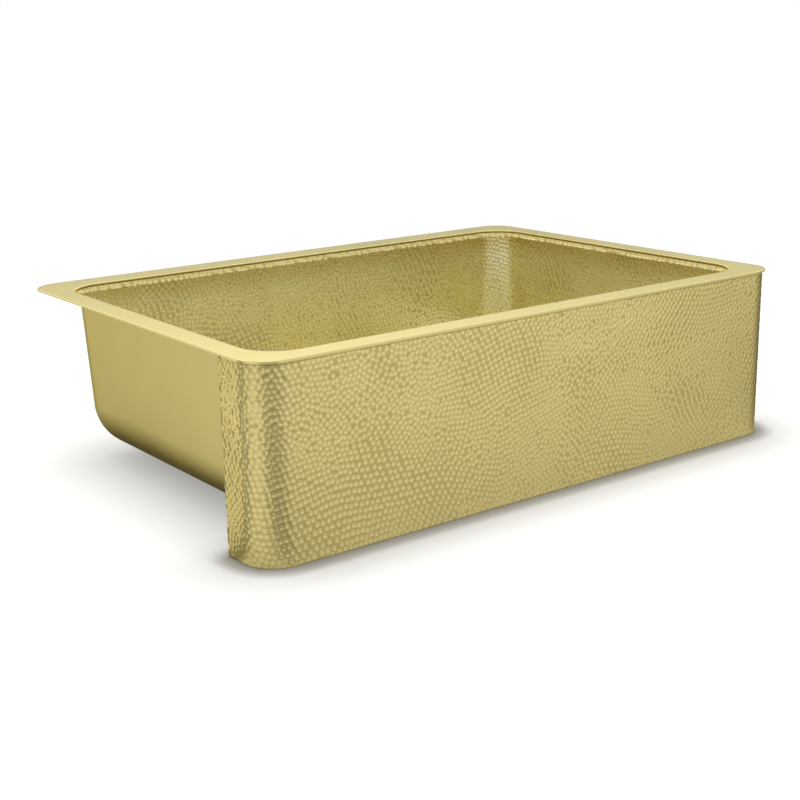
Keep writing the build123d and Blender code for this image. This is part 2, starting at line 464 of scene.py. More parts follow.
    def carried(self, blows: bpy.types.NodeSocket) -> bpy.types.NodeSocket:
        """Carries the blows over from the flat sheet to the formed one.

        Args:
            blows: One point for each blow, on the flat sheet.

        Returns:
            Those that hit the sheet, on the formed one.
        """
        sample = self.add("GeometryNodeSampleUVSurface", {
            "Mesh": self.given["Sheet"], "Value": self.here, "Sample UV": self.here,
            "Source UV Map": self.named("flat", "FLOAT_VECTOR")}, data_type="FLOAT_VECTOR").outputs
        formed = self.stored(blows, "formed", "FLOAT_VECTOR", sample["Value"])
        hit = self.stored(formed, "hit", "BOOLEAN", sample["Is Valid"])
        moved = self.add("GeometryNodeSetPosition", {"Geometry": hit,
                                                     "Position": self.named("formed", "FLOAT_VECTOR")})
        missed = self.add("FunctionNodeBooleanMath", {0: self.named("hit", "BOOLEAN")}, operation="NOT")
        kept = self.add("GeometryNodeDeleteGeometry", {"Geometry": moved.outputs[0],
                                                       "Selection": missed.outputs[0]}, domain="POINT")
        return kept.outputs[0]

    def struck(self, marks: bpy.types.NodeSocket) -> bpy.types.NodeSocket:
        """Presses a round hollow under each blow, and a slow unevenness into the whole sheet.

        Args:
            marks: One point for each blow, on the formed sheet.

        Returns:
            The struck sheet.
        """
        given, calc = self.given, self.calc
        nearest = self.add("GeometryNodeSampleNearest", {"Geometry": marks, "Sample Position": self.here},
                           domain="POINT")
        centre = self.add("GeometryNodeSampleIndex", {"Geometry": marks, "Index": nearest.outputs[0],
                                                      "Value": self.here}, data_type="FLOAT_VECTOR",
                          domain="POINT")
        gap = self.vector("DISTANCE", centre.outputs[0], self.here, output="Value")
        share = calc("DIVIDE", gap, calc("MULTIPLY", given["Pitch"], given["Reach"]))
        hollow = calc("MAXIMUM", calc("SUBTRACT", 1.0, calc("POWER", share, 2.0)), 0.0)
        blur = self.add("GeometryNodeBlurAttribute", {"Iterations": 1, "Weight": self.softening},
                        data_type="FLOAT")
        self.feed(blur.inputs["Value"], hollow)
        soft = blur.outputs["Value"]
        uneven = self.add("ShaderNodeTexNoise", {"Vector": self.here, "Detail": 1.0,
                                                 "Scale": calc("DIVIDE", 1.0, given["Swell Size"])})
        swell = calc("MULTIPLY", uneven.outputs["Fac"], given["Swell"])
        press = calc("ADD", calc("MULTIPLY", soft, given["Depth"]), swell)
        even = calc("MULTIPLY", given["Depth"], given["Sink"])
        more = calc("MULTIPLY", calc("SUBTRACT", press, even), self.named("struck", "FLOAT"))
        push = calc("MULTIPLY", calc("ADD", even, more), -1.0)
        inward = self.scaled(self.named("outward", "FLOAT_VECTOR"), push)
        marked = self.stored(given["Sheet"], "mark", "FLOAT", soft)
        return self.add("GeometryNodeSetPosition", {"Geometry": marked, "Offset": inward}).outputs[0]


# ---- sheets ---------------------------------------------------------------------------------------


def placed(name: str, data: bpy.types.ID) -> bpy.types.Object:
    """Puts a new object in the scene, at the origin.

    Args:
        name: The object's name.
        data: Its mesh, lamp or camera.

    Returns:
        The object.
    """
    made = bpy.data.objects.new(name, data)
    bpy.context.scene.collection.objects.link(made)
    return made


def unit(vectors: Grid) -> Grid:
    """Returns vectors made one long."""
    return vectors / np.maximum(np.linalg.norm(vectors, axis=-1, keepdims=True), TINY)


def crossed(points: Grid, closed: bool) -> Grid:
    """Unit normals of a grid of points, on the side where its columns run right and its rows run up.

    Args:
        points: Rows and columns of points.
        closed: Whether the last column is followed by the first.

    Returns:
        One unit normal for each point.
    """
    if closed:
        along = np.roll(points, -1, axis=1) - np.roll(points, 1, axis=1)
    else:
        along = np.gradient(points, axis=1)
    return unit(np.cross(along, np.gradient(points, axis=0)))


def squares(ids: Grid) -> Grid:
    """Returns the corners of each square between numbered points."""
    return np.stack([ids[:-1, :-1], ids[:-1, 1:], ids[1:, 1:], ids[1:, :-1]], axis=-1).reshape(-1, 4)


@dataclass
class Patch:
    """One grid of a formed sheet's face, with the place of each point on the sheet while it was flat."""

    points: Grid                     # rows, columns, 3
    flat: Grid                       # rows, columns, 2
    struck: Grid                     # rows, columns: how fully the hammer reached it, 0 to 1
    outward: Grid                    # rows, columns, 3

    def faces(self, start: int) -> Grid:
        """Returns the corners of each square between the points, numbered from start."""
        return squares(start + np.arange(self.struck.size).reshape(self.struck.shape))


@dataclass
class Struck:
    """What the hammer left of a patch: the points, and how deep in a mark each one lies."""

    points: Grid
    mark: Grid


@dataclass
class Smith:
    """Strikes sheets: one tree of blows for all of them, and a hammer for each."""

    tree: bpy.types.NodeTree
    margin: float = 0.06             # the rows of blows start this far outside the sheet, metres

    def strike(self, name: str, patches: list[Patch], hammer: Hammer,
               brass: bpy.types.Material) -> list[Struck]:
        """Hammers the patches of one sheet together, so that the marks run on from one to the next.

        Args:
            name: The sheet's name.
            patches: Its patches. Where two meet, both hold the points of the line between them.
            hammer: The hammer.
            brass: The sheet's finish.

        Returns:
            The struck points of each patch.
        """
        starts = np.cumsum([0] + [p.struck.size for p in patches])
        flat = np.concatenate([np.pad(p.flat.reshape(-1, 2), ((0, 0), (0, 1))) for p in patches])
        outward = np.concatenate([p.outward.reshape(-1, 3) for p in patches])
        reached = np.concatenate([p.struck.ravel() for p in patches])
        mesh = bpy.data.meshes.new(name + "_blank")
        mesh.from_pydata(np.concatenate([p.points.reshape(-1, 3) for p in patches]), [],
                         np.concatenate([p.faces(s) for p, s in zip(patches, starts)]))
        for label, kind, key, values in (("flat", "FLOAT_VECTOR", "vector", flat),
                                         ("outward", "FLOAT_VECTOR", "vector", outward),
                                         ("struck", "FLOAT", "value", reached)):
            carried = mesh.attributes.new(label, kind, "POINT")
            carried.data.foreach_set(key, values.astype(np.float32).ravel())
        blank = placed(name + "_blank", mesh)
        blows = blank.modifiers.new("hammer_blows", "NODES")
        blows.node_group = self.tree
        low, high = flat.min(axis=0) - self.margin, flat.max(axis=0) + self.margin
        given = {"Width": float(high[0] - low[0]), "Height": float(high[1] - low[1]),
                 "Corner": (float(low[0]), float(low[1]), 0.0), "Brass": brass, **hammer.settings()}
        for socket in self.tree.interface.items_tree:
            if socket.in_out == "INPUT" and socket.name in given:
                blows[socket.identifier] = given[socket.name]
        worked = bpy.data.meshes.new_from_object(blank.evaluated_get(bpy.context.evaluated_depsgraph_get()))
        points = np.empty(len(worked.vertices) * 3, np.float32)
        worked.vertices.foreach_get("co", points)
        mark = np.empty(len(worked.vertices), np.float32)
        worked.attributes["mark"].data.foreach_get("value", mark)
        bpy.data.objects.remove(blank)
        bpy.data.meshes.remove(mesh)
        bpy.data.meshes.remove(worked)
        results = []
        for patch, start in zip(patches, starts):
            part = slice(start, start + patch.struck.size)
            results.append(Struck(points.reshape(-1, 3)[part].reshape(patch.points.shape).astype(float),
                                  mark[part].reshape(patch.struck.shape)))
        return results


@dataclass
class Panel:
    """A closed piece of sheet: its face as a dense grid, its back as a coarse one, and the edges between."""

    name: str
    face: Grid                       # rows, columns, 3
    facing: Grid                     # unit normals of the face
    back: Grid                       # the point behind each point of the face
    behind: Grid                     # unit normals of the back
    flat: Grid                       # where each point lay on the flat sheet
    mark: Grid
    finishes: tuple[bpy.types.Material, bpy.types.Material]
    block_rows: int = 3              # one face of the back is this many rows high
    block_columns: int = 4

    def build(self) -> bpy.types.Object:
        """Makes the panel's mesh.

        Returns:
            The new object, at the origin.
        """
        rows, columns = self.mark.shape
        front = np.arange(rows * columns).reshape(rows, columns)
        row_lines = sorted({*range(0, rows - 1, self.block_rows), rows - 1})
        column_lines = sorted({*range(0, columns - 1, self.block_columns), columns - 1})
        kept = np.zeros((rows, columns), bool)
        kept[[0, -1], :] = True
        kept[:, [0, -1]] = True
        kept[np.ix_(row_lines, column_lines)] = True
        rear = np.full((rows, columns), -1)
        rear[kept] = rows * columns + np.arange(kept.sum())
        face = squares(front)
        edges = self._edges(front, rear)
        mesh = bpy.data.meshes.new(self.name)
        points = np.concatenate([self.face.reshape(-1, 3), self.back[kept]])
        mesh.from_pydata(points, [], face.tolist() + self._blocks(rear, row_lines, column_lines)
                         + edges.tolist())
        place = np.concatenate([self.flat.reshape(-1, 2), self.flat[kept]])
        marks = np.concatenate([self.mark.ravel(), np.zeros(kept.sum())])
        corners = np.empty(len(mesh.loops), np.int32)
        mesh.loops.foreach_get("vertex_index", corners)
        mesh.attributes.new("mark", "FLOAT", "POINT").data.foreach_set("value", marks.astype(np.float32))
        mesh.uv_layers.new(name="flat").uv.foreach_set("vector", place[corners].astype(np.float32).ravel())
        normals = np.concatenate([self.facing.reshape(-1, 3), self.behind[kept]])[corners]
        first, second, third, fourth = (points[corner] for corner in edges.T)
        sideways = unit(np.cross(third - first, fourth - second))
        normals[len(corners) - edges.size:] = np.repeat(sideways, 4, axis=0)
        mesh.shade_smooth()
        mesh.normals_split_custom_set(normals)
        for finish in self.finishes:
            mesh.materials.append(finish)
        slots = np.ones(len(mesh.polygons), np.int32)
        slots[:len(face)] = 0
        mesh.polygons.foreach_set("material_index", slots)
        return placed(self.name, mesh)

    @staticmethod
    def _blocks(rear: Grid, row_lines: list[int], column_lines: list[int]) -> list[list[int]]:
        """The faces of the back. Those on its border hold every point of the border.

        Args:
            rear: The number of each point of the back, or -1.
            row_lines: The rows where one face ends and the next begins.
            column_lines: The same for columns.

        Returns:
            The corners of each face, seen from behind.
        """
        last_row, last_column = rear.shape[0] - 1, rear.shape[1] - 1
        faces = []
        for top, bottom in zip(row_lines, row_lines[1:]):
            for left, right in zip(column_lines, column_lines[1:]):
                down = rear[top:bottom, left] if left == 0 else rear[top, left:left + 1]
                along = rear[bottom, left:right] if bottom == last_row else rear[bottom, left:left + 1]
                up = rear[bottom:top:-1, right] if right == last_column else rear[bottom, right:right + 1]
                back = rear[top, right:left:-1] if top == 0 else rear[top, right:right + 1]
                faces.append([*down.tolist(), *along.tolist(), *up.tolist(), *back.tolist()])
        return faces

    @staticmethod
    def _edges(front: Grid, rear: Grid) -> Grid:
        """The narrow faces round the sheet's four edges.

        Args:
            front: The number of each point of the face.
            rear: The number of each point of the back, or -1.

        Returns:
            The corners of each of them.
        """
        strips = []
        for line, back in ((front[0], rear[0]), (front[-1, ::-1], rear[-1, ::-1]),
                           (front[:, -1], rear[:, -1]), (front[::-1, 0], rear[::-1, 0])):
            strips.append(np.stack([line[1:], line[:-1], back[:-1], back[1:]], axis=-1))
        return np.concatenate(strips)


def spaced(start: float, end: float, step: float) -> Grid:
    """Returns values from start to end, both included, about one step apart."""
    return np.linspace(start, end, max(2, round(abs(end - start) / step) + 1))


def joined(*runs: Grid) -> Grid:
    """Returns runs of values or points one after the other, each without its first, which ends the last."""
    return np.concatenate([runs[0], *(run[1:] for run in runs[1:])])


def level(line: Grid, z: float) -> Grid:
    """Returns a line of points in plan at a height."""
    return np.column_stack([line, np.full(len(line), z)])


def run_length(points: Grid, axis: int) -> Grid:
    """Measures along lines of points.

    Args:
        points: Rows and columns of points.
        axis: 0 to measure down the columns, 1 along the rows.

    Returns:
        How far each point lies from the first of its line.
    """
    pad = [(0, 0), (0, 0)]
    pad[axis] = (1, 0)
    return np.cumsum(np.pad(np.linalg.norm(np.diff(points, axis=axis), axis=2), pad), axis=axis)


def eased(values: Grid, low: float, high: float) -> Grid:
    """Returns 0 where values are under low, 1 over high, and a smooth rise between."""
    share = np.clip((values - low) / (high - low), 0, 1)
    return share * share * (3 - 2 * share)


@dataclass
class Stations:
    """Where the columns of a ring stand: on four sides and four corners, from the middle in front."""

    side: Grid                       # -1 to 1 along X: which side, or where along a straight one
    depth: Grid                      # the same along Y
    turn: Grid                       # direction that the edge faces, radians

    @staticmethod
    def around(half_x: float, half_y: float, step: float, corner_columns: int) -> Stations:
        """Spaces the columns.

        Args:
            half_x: Half the length of the straight part of the front.
            half_y: The same for the sides.
            step: The distance between columns there.
            corner_columns: The columns in each corner.

        Returns:
            The stations, anticlockwise seen from above.
        """
        across = np.linspace(0, 1, round(half_x / step) + 1)
        up = np.linspace(-1, 1, 2 * round(half_y / step) + 1)
        bend = np.linspace(0, 1, corner_columns + 1)
        front, side, corner = np.ones_like(across), np.ones_like(up), np.ones_like(bend)
        return Stations(
            side=joined(across, corner, side, corner, across[::-1],
                        -across, -corner, -side, -corner, -across[::-1]),
            depth=joined(-front, -corner, up, corner, front,
                         front, corner, up[::-1], -corner, -front),
            turn=QUARTER * joined(-front, bend - 1, 0 * up, bend, front,
                                  front, 1 + bend, 2 * side, 2 + bend, 3 * front))

    def outline(self, half_x: float, half_y: float, radius: float, middle_y: float) -> Grid:
        """A rounded rectangle in plan.

        Args:
            half_x: Half its width.
            half_y: Half its depth.
            radius: Its corner radius.
            middle_y: Where its middle lies along Y.

        Returns:
            Its point at each station.
        """
        x = self.side * (half_x - radius) + radius * np.cos(self.turn)
        y = middle_y + self.depth * (half_y - radius) + radius * np.sin(self.turn)
        return np.stack([x, y], axis=-1)


def show(piece: bpy.types.Object, metal: Metal, *nodes: str) -> bpy.types.Object:
    """Puts a finished piece in its place in the frame.

    Args:
        piece: The piece.
        metal: The finish that the record gives it. Not used.
        nodes: The CAD nodes that it stands for.

    Returns:
        The same piece.
    """
    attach(piece, "root")
    if nodes:
        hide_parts(*nodes)
    LOG.info("%s: %d faces", piece.name, len(piece.data.polygons))
    return piece


# ---- apron ----------------------------------------------------------------------------------------


@dataclass
class Apron:
    """The hammered front sheet, which wraps round both front corners into short returns."""

    bend: float = 42 * MM            # radius at each front corner
    edge: float = 1.5 * MM           # rounding of the lower edge
    top_roll: float = 1.2 * MM       # rounding of the upper edge
    neck: float = 2.2 * MM           # height of the groove under the rim,
    neck_depth: float = 1.7 * MM     # and how deep it is
    sheet: float = 2.0 * MM
    step: float = 1.0 * MM
    edge_steps: int = 5
    neck_rows: tuple[int, int] = (3, 4)          # points into the groove, and up it
    fade: float = 2 * MM             # the marks die out this close to the lower edge
    bend_share: float = 0.80         # depth of the marks on the bends, which are smoothed over a former
    tired: tuple[float, float] = (0.05, 0.36)    # between these two places the blows grow lighter,
    tired_share: float = 0.60        # down to this share
    hammer: Hammer = field(default_factory=Hammer)
    names: tuple[str, str, str] = ("apron_left", "apron_middle", "apron_right")

    def path(self, depth: float) -> tuple[Grid, Grid]:
        """The apron's plan line, from the rear edge of the left return round to the right one.

        Args:
            depth: How far behind its face the line runs.

        Returns:
            The points of the line, and the direction that the face looks in at each.
        """
        low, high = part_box("apron_skin")
        corner_x, corner_y = high.x - self.bend, low.y + self.bend
        side = spaced(high.y, corner_y, self.step)
        turn = np.linspace(0, QUARTER, round(self.bend * QUARTER / self.step) + 1)
        across = spaced(-corner_x, corner_x, self.step)
        still = np.ones_like(side)
        angle = joined(2 * QUARTER * still, 2 * QUARTER + turn, np.full_like(across, 3 * QUARTER),
                       3 * QUARTER + turn, 4 * QUARTER * still)
        x = joined(-corner_x * still, np.full_like(turn, -corner_x), across, np.full_like(turn, corner_x),
                   corner_x * still)
        y = joined(side, np.full_like(turn, corner_y), np.full_like(across, corner_y),
                   np.full_like(turn, corner_y), side[::-1])
        face = np.stack([np.cos(angle), np.sin(angle)], axis=-1)
        return np.stack([x, y], axis=-1) + (self.bend - depth) * face, face

    def section(self) -> tuple[Grid, Grid, Grid]:
        """The apron's section, from its lower edge up into the groove under the rim.

        Returns:
            For each point its height, how far behind the face it lies, and how far down its normal is turned.
        """
        low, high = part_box("apron_skin")
        turn = np.linspace(0, QUARTER, self.edge_steps + 1)
        neck_z = high.z - self.neck
        upright = spaced(low.z + self.edge, neck_z - self.top_roll, self.step)
        inner = np.linspace(self.top_roll, self.neck_depth, self.neck_rows[0])
        rise = np.linspace(neck_z, high.z, self.neck_rows[1])
        height = joined(low.z + self.edge * (1 - np.cos(turn)), upright,
                        neck_z - self.top_roll * (1 - np.sin(turn)), np.full_like(inner, neck_z), rise)
        depth = joined(self.edge * (1 - np.sin(turn)), 0 * upright, self.top_roll * (1 - np.cos(turn)), inner,
                       np.full_like(rise, self.neck_depth))
        tilt = joined(QUARTER - turn, 0 * upright, -turn, np.full_like(inner, -QUARTER), 0 * rise)
        return height, depth, tilt

    def patch(self) -> tuple[Patch, Grid]:
        """Forms the sheet.

        Returns:
            The patch of its face, and the points of its back.
        """
        low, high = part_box("apron_skin")
        height, depth, tilt = (values[:, None, None] for values in self.section())
        line, face = self.path(0.0)
        back_line, _ = self.path(self.sheet)
        shape = (len(height), len(line), 1)
        upright = np.broadcast_to(height, shape)
        points = np.concatenate([line[None] - depth * face[None], upright], axis=2)
        back = np.concatenate([np.broadcast_to(back_line, (*shape[:2], 2)), upright], axis=2)
        outward = np.concatenate([face[None] * np.cos(tilt), np.broadcast_to(-np.sin(tilt), shape)], axis=2)
        along = run_length(np.pad(line, ((0, 0), (0, 1)))[None], 1)
        flat = np.stack(np.broadcast_arrays(along, run_length(points[:, :1], 0)), axis=-1)
        top = high.z - self.neck
        reach = eased(height, low.z, low.z + self.fade) * eased(-height, -top, self.top_roll - top)
        shaped = 1 - (1 - self.bend_share) * np.sqrt(np.abs(2 * face[:, 0] * face[:, 1]))
        lighter = 1 - (1 - self.tired_share) * eased(line[:, 0], *self.tired)
        return Patch(points, flat, reach[..., 0] * (shaped * lighter)[None], outward), back

    def build(self, smith: Smith, finishes: tuple[bpy.types.Material, bpy.types.Material]) -> None:
        """Makes the apron's panels.

        Args:
            smith: Who strikes it.
            finishes: The finish of its face and of its back.
        """
        patch, back = self.patch()
        struck = smith.strike("apron", [patch], self.hammer, finishes[0])[0]
        facing = crossed(struck.points, closed=False)
        behind = unit(-patch.outward * (1, 1, 0))
        cuts = np.linspace(0, struck.mark.shape[1] - 1, len(self.names) + 1).round().astype(int)
        for name, start, end in zip(self.names, cuts, cuts[1:]):
            part = np.s_[:, start:end + 1]
            panel = Panel(name, struck.points[part], facing[part], back[part], behind[part], patch.flat[part],
                          struck.mark[part], finishes)
            show(panel.build(), Metal.HAMMERED, "apron_skin")


# ---- bowl -----------------------------------------------------------------------------------------


@dataclass
class Mouth:
    """The rim's opening, which the bowl hangs under."""

    x: float = 774 * MM
    y: float = 509 * MM
    corner: float = 50 * MM
    middle_y: float = -4.5 * MM


@dataclass
class Bowl:
    """The deep bowl: flange and rolled shoulder, leaning walls, wide sweep, falling floor, drain seat."""

    mouth: Mouth = field(default_factory=Mouth)
    setback: float = 6.5 * MM        # wall inboard of the rim's edge
    lap: float = 13 * MM             # flange under the rim
    shoulder: float = 7.6 * MM       # radius of the roll under the rim
    lean: float = 1 * MM             # of each wall, from the shoulder down to the sweep
    corner_top: float = 43.5 * MM
    corner_foot: float = 62.4 * MM   # a hair more than the sweep, which leaves the floor a small corner
    sweep: float = 62 * MM
    floor_z: float = 18.6 * MM
    fall: float = 8 * MM
    foot_r: float = 70 * MM          # level ground round the seat
    seat_r: float = 57 * MM
    seat_drop: float = 6 * MM
    seat_edge: float = 3 * MM        # rounding where the floor turns down to the seat,
    seat_edge_steps: int = 5
    seat_fillet: float = 1.2 * MM    # and where the seat's wall meets its ground
    seat_fillet_steps: int = 4
    drain_r: float = 44.5 * MM
    sheet: float = 1.6 * MM
    step: float = 1.5 * MM           # between columns
    row_step: float = 1.3 * MM
    seat_step: float = 2 * MM
    corner_columns: int = 48
    floor_rows: int = 84
    island: tuple[float, float] = (0.5, -0.05)       # where the floor's blank lies beside the wall's, metres
    smooth: tuple[float, float] = (0.02 * MM, 1.5 * MM)   # the marks begin and are full this far down
    hammer: Hammer = field(default_factory=lambda: Hammer(depth=0.6 * MM, seed=11))

    @property
    def half(self) -> tuple[float, float]:
        """Half the bowl's inside at the rim, along X and Y."""
        return self.mouth.x / 2 - self.setback, self.mouth.y / 2 - self.setback

    def stations(self) -> Stations:
        """Returns the columns' stations."""
        half_x, half_y = self.half
        return Stations.around(half_x - self.corner_top, half_y - self.corner_top, self.step,
                               self.corner_columns)

    def rings(self, rim_z: float) -> list[tuple[float, float, float]]:
        """The wall's level lines, from the flange's outer edge down to the floor's edge.

        Args:
            rim_z: The height of the rim plate's under side.

        Returns:
            How far each line is leaned in from the wall at the rim, its corner radius and its height.
        """
        outer = self.setback + self.lap
        lines = [(-out, self.corner_top + out, rim_z) for out in (outer, (outer + self.shoulder) / 2)]
        neck_z, sweep_z = rim_z - self.shoulder, self.floor_z + self.sweep
        for turn in spaced(QUARTER, 0, self.row_step / self.shoulder):
            flare = self.shoulder * (1 - math.cos(turn))
            lines.append((-flare, self.corner_top + flare, neck_z + self.shoulder * math.sin(turn)))
        for share in spaced(0, 1, self.row_step / (neck_z - sweep_z))[1:]:
            radius = self.corner_top + share * (self.corner_foot - self.corner_top)
            lines.append((share * self.lean, radius, neck_z + share * (sweep_z - neck_z)))
        for turn in spaced(0, QUARTER, self.row_step / self.sweep)[1:]:
            drawn = self.sweep * (1 - math.cos(turn))
            lines.append((self.lean + drawn, self.corner_foot - drawn, sweep_z - self.sweep * math.sin(turn)))
        return lines

    def wall(self, stations: Stations, rim_z: float) -> Grid:
        """Returns the rows of points from the flange down to the floor's edge."""
        half_x, half_y = self.half
        return np.stack([level(stations.outline(half_x - lean, half_y - lean, radius, self.mouth.middle_y), z)
                         for lean, radius, z in self.rings(rim_z)])

    def seat(self) -> list[tuple[float, float]]:
        """The section of the level ground, the seat's wall and its own ground.

        Returns:
            The radius and height of each of its points, from outside in.
        """
        foot_z = self.floor_z - self.fall
        seat_z = foot_z - self.seat_drop
        lip = self.seat_r + self.seat_edge
        profile = [(r, foot_z) for r in spaced(self.foot_r, lip, self.seat_step)[1:]]
        for turn in np.linspace(0, QUARTER, self.seat_edge_steps + 1)[1:]:
            profile.append((lip - self.seat_edge * math.sin(turn),
                            foot_z - self.seat_edge * (1 - math.cos(turn))))
        for turn in np.linspace(0, QUARTER, self.seat_fillet_steps + 1):
            profile.append((self.seat_r - self.seat_fillet * (1 - math.cos(turn)),
                            seat_z + self.seat_fillet * (1 - math.sin(turn))))
        ground = spaced(self.seat_r - self.seat_fillet, self.drain_r, self.seat_step)
        return profile + [(r, seat_z) for r in ground[1:]]

    def floor(self, edge: Grid, spacing: Grid) -> Grid:
        """The rows of points from the floor's edge in to the drain opening.

        Args:
            edge: The points along the floor's edge.
            spacing: Points with the spacing that the rows take on as they close in on the drain.

        Returns:
            Rows of as many points as the edge has.
        """
        share = run_length(spacing[None], 1)[0]
        angle = QUARTER * (4 * share / share[-1] - 1)
        circle = np.stack([np.cos(angle), np.sin(angle)], axis=-1)
        middle = np.array([0.0, self.mouth.middle_y])
        rows = [level((1 - part) * edge[:, :2] + part * (middle + self.foot_r * circle),
                      self.floor_z - self.fall * part) for part in np.linspace(0, 1, self.floor_rows + 1)]
        return np.stack(rows + [level(middle + radius * circle, z) for radius, z in self.seat()])

    def build(self, smith: Smith, finishes: tuple[bpy.types.Material, bpy.types.Material]) -> None:
        """Makes the bowl's panels.

        Args:
            smith: Who strikes it.
            finishes: The finish of its inside and of its outside.
        """
        rim_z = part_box("rim_frame")[0].z
        stations = self.stations()
        wall = self.wall(stations, rim_z)
        floor = self.floor(wall[-1], wall[0])
        whole = joined(wall, floor)
        last = len(wall) - 1
        outward = self._wrapped(whole)
        wall_flat = np.stack([run_length(wall, 1), run_length(wall, 0)], axis=-1)
        floor_flat = floor[..., :2] + (self.island[0], self.island[1] - self.mouth.y / 2)
        wall_struck = np.broadcast_to(eased(rim_z - wall[:, :1, 2], *self.smooth), wall.shape[:2])
        ground = np.hypot(floor[..., 0], floor[..., 1] - self.mouth.middle_y)
        floor_struck = eased(ground, self.seat_r + self.seat_edge, self.foot_r)
        patches = [Patch(wall, wall_flat, wall_struck, outward[:last + 1]),
                   Patch(floor, floor_flat, floor_struck, outward[last:])]
        struck = smith.strike("bowl", patches, self.hammer, finishes[0])
        face = joined(*(s.points for s in struck))
        mark = joined(*(s.mark * p.struck for s, p in zip(struck, patches)))
        facing = self._wrapped(face)
        back = whole - self.sheet * outward
        flat = joined(wall_flat, floor_flat)
        for name, rows, columns in self.cuts(stations, last, len(face) - 1):
            part = np.s_[rows[0]:rows[1] + 1, columns[0]:columns[1] + 1]
            panel = Panel(name, face[part], facing[part], back[part], -outward[part], flat[part], mark[part],
                          finishes)
            show(panel.build(), Metal.HAMMERED, "bowl_shell")

    @staticmethod
    def _wrapped(points: Grid) -> Grid:
        """Returns the unit normals of rings whose last point is their first."""
        normals = crossed(points[:, :-1], closed=True)
        return np.concatenate([normals, normals[:, :1]], axis=1)

    @staticmethod
    def cuts(stations: Stations, last_wall_row: int,
             last_row: int) -> list[tuple[str, tuple[int, int], tuple[int, int]]]:
        """Where the bowl is cut into panels.

        Args:
            stations: The columns' stations.
            last_wall_row: The row along the floor's edge.
            last_row: The row along the drain opening.

        Returns:
            The name of each panel, with its first and last rows and columns.
        """
        total = len(stations.turn) - 1
        corners = [int(np.argmin(np.abs(stations.turn - QUARTER / 2 * eighth))) for eighth in (-1, 1, 3, 5)]
        marks = [0, corners[0], corners[1], total // 2, corners[2], corners[3], total]
        names = ("front_right", "right", "rear_right", "rear_left", "left", "front_left")
        walls = [("bowl_wall_" + name, (0, last_wall_row), (start, end))
                 for name, start, end in zip(names, marks, marks[1:])]
        floors = [("bowl_floor_right", (last_wall_row, last_row), (0, total // 2)),
                  ("bowl_floor_left", (last_wall_row, last_row), (total // 2, total))]
        return walls + floors


# ---- rim ------------------------------------------------------------------------------------------


@dataclass
class RimPlate:
    """The flat brushed frame on top, with softened edges."""

    mouth: Mouth = field(default_factory=Mouth)
    outer_r: float = 38 * MM
    edge: float = 0.6 * MM
    step: float = 4 * MM
    corner_columns: int = 40
    top_rows: int = 12
    edge_rows: int = 5
    sharp: float = 60.0              # an edge turned more than this stays sharp, degrees

    def section(self, under: float, top: float) -> list[tuple[float, float, float]]:
        """The plate's section, from its outer edge over the top to its inner edge.

        Args:
            under: The height of its under side.
            top: The height of its upper side.

        Returns:
            For each point its share of the outer outline, how far inside that outline it lies, and its
            height.
        """
        turns = np.linspace(0, QUARTER, self.edge_rows + 1)
        round_edge = [(self.edge * (1 - math.cos(t)), top - self.edge * (1 - math.sin(t))) for t in turns]
        across = [(1.0 - share, 0.0, top) for share in np.linspace(0, 1, self.top_rows + 1)[1:-1]]
        return [(1.0, 0.0, under), *((1.0, inset, z) for inset, z in round_edge), *across,
                *((0.0, -inset, z) for inset, z in round_edge[::-1]), (0.0, 0.0, under)]

    def build(self, finish: bpy.types.Material) -> bpy.types.Object:
        """Makes the plate as one closed ring.

        Args:
            finish: Its finish.

        Returns:
            The new piece.
        """
        low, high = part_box("rim_frame")
        mouth = self.mouth
        stations = Stations.around(high.x - self.outer_r, high.y - self.outer_r, self.step,
                                   self.corner_columns)
        rows = []
        for share, inset, z in self.section(low.z, high.z):
            outer = stations.outline(high.x - inset, high.y - inset, self.outer_r - inset, 0.0)
            inner = stations.outline(mouth.x / 2 - inset, mouth.y / 2 - inset, mouth.corner - inset,
                                     mouth.middle_y)
            rows.append(level(share * outer + (1 - share) * inner, z)[:-1])
        points = np.stack(rows)
        ids = np.pad(np.arange(points[..., 0].size).reshape(points.shape[:2]), ((0, 1), (0, 1)), "wrap")
        mesh = bpy.data.meshes.new("rim_plate")
        mesh.from_pydata(points.reshape(-1, 3), [], squares(ids))
        mesh.shade_smooth()
        mesh.set_sharp_from_angle(angle=math.radians(self.sharp))
        mesh.materials.append(finish)
        return show(placed("rim_plate", mesh), Metal.BRUSHED, "rim_frame")


# ---- stiffeners -----------------------------------------------------------------------------------


@dataclass
class Stiffeners:
    """The strips, ribs, ties and ring behind the show faces, which stay as the frame has them."""

    finish: bpy.types.Material

    def dress(self) -> None:
        """Gives each of them its finish."""
        for row in frame["record"]["subparts"]:
            if row["material_slot"] != Metal.MILL.value:
                continue
            node = frame["nodes"][row["node"]]
            node.data.materials.clear()
            node.data.materials.append(self.finish)
            LOG.info("%s: dressed", row["node"])


# ---- studio ---------------------------------------------------------------------------------------


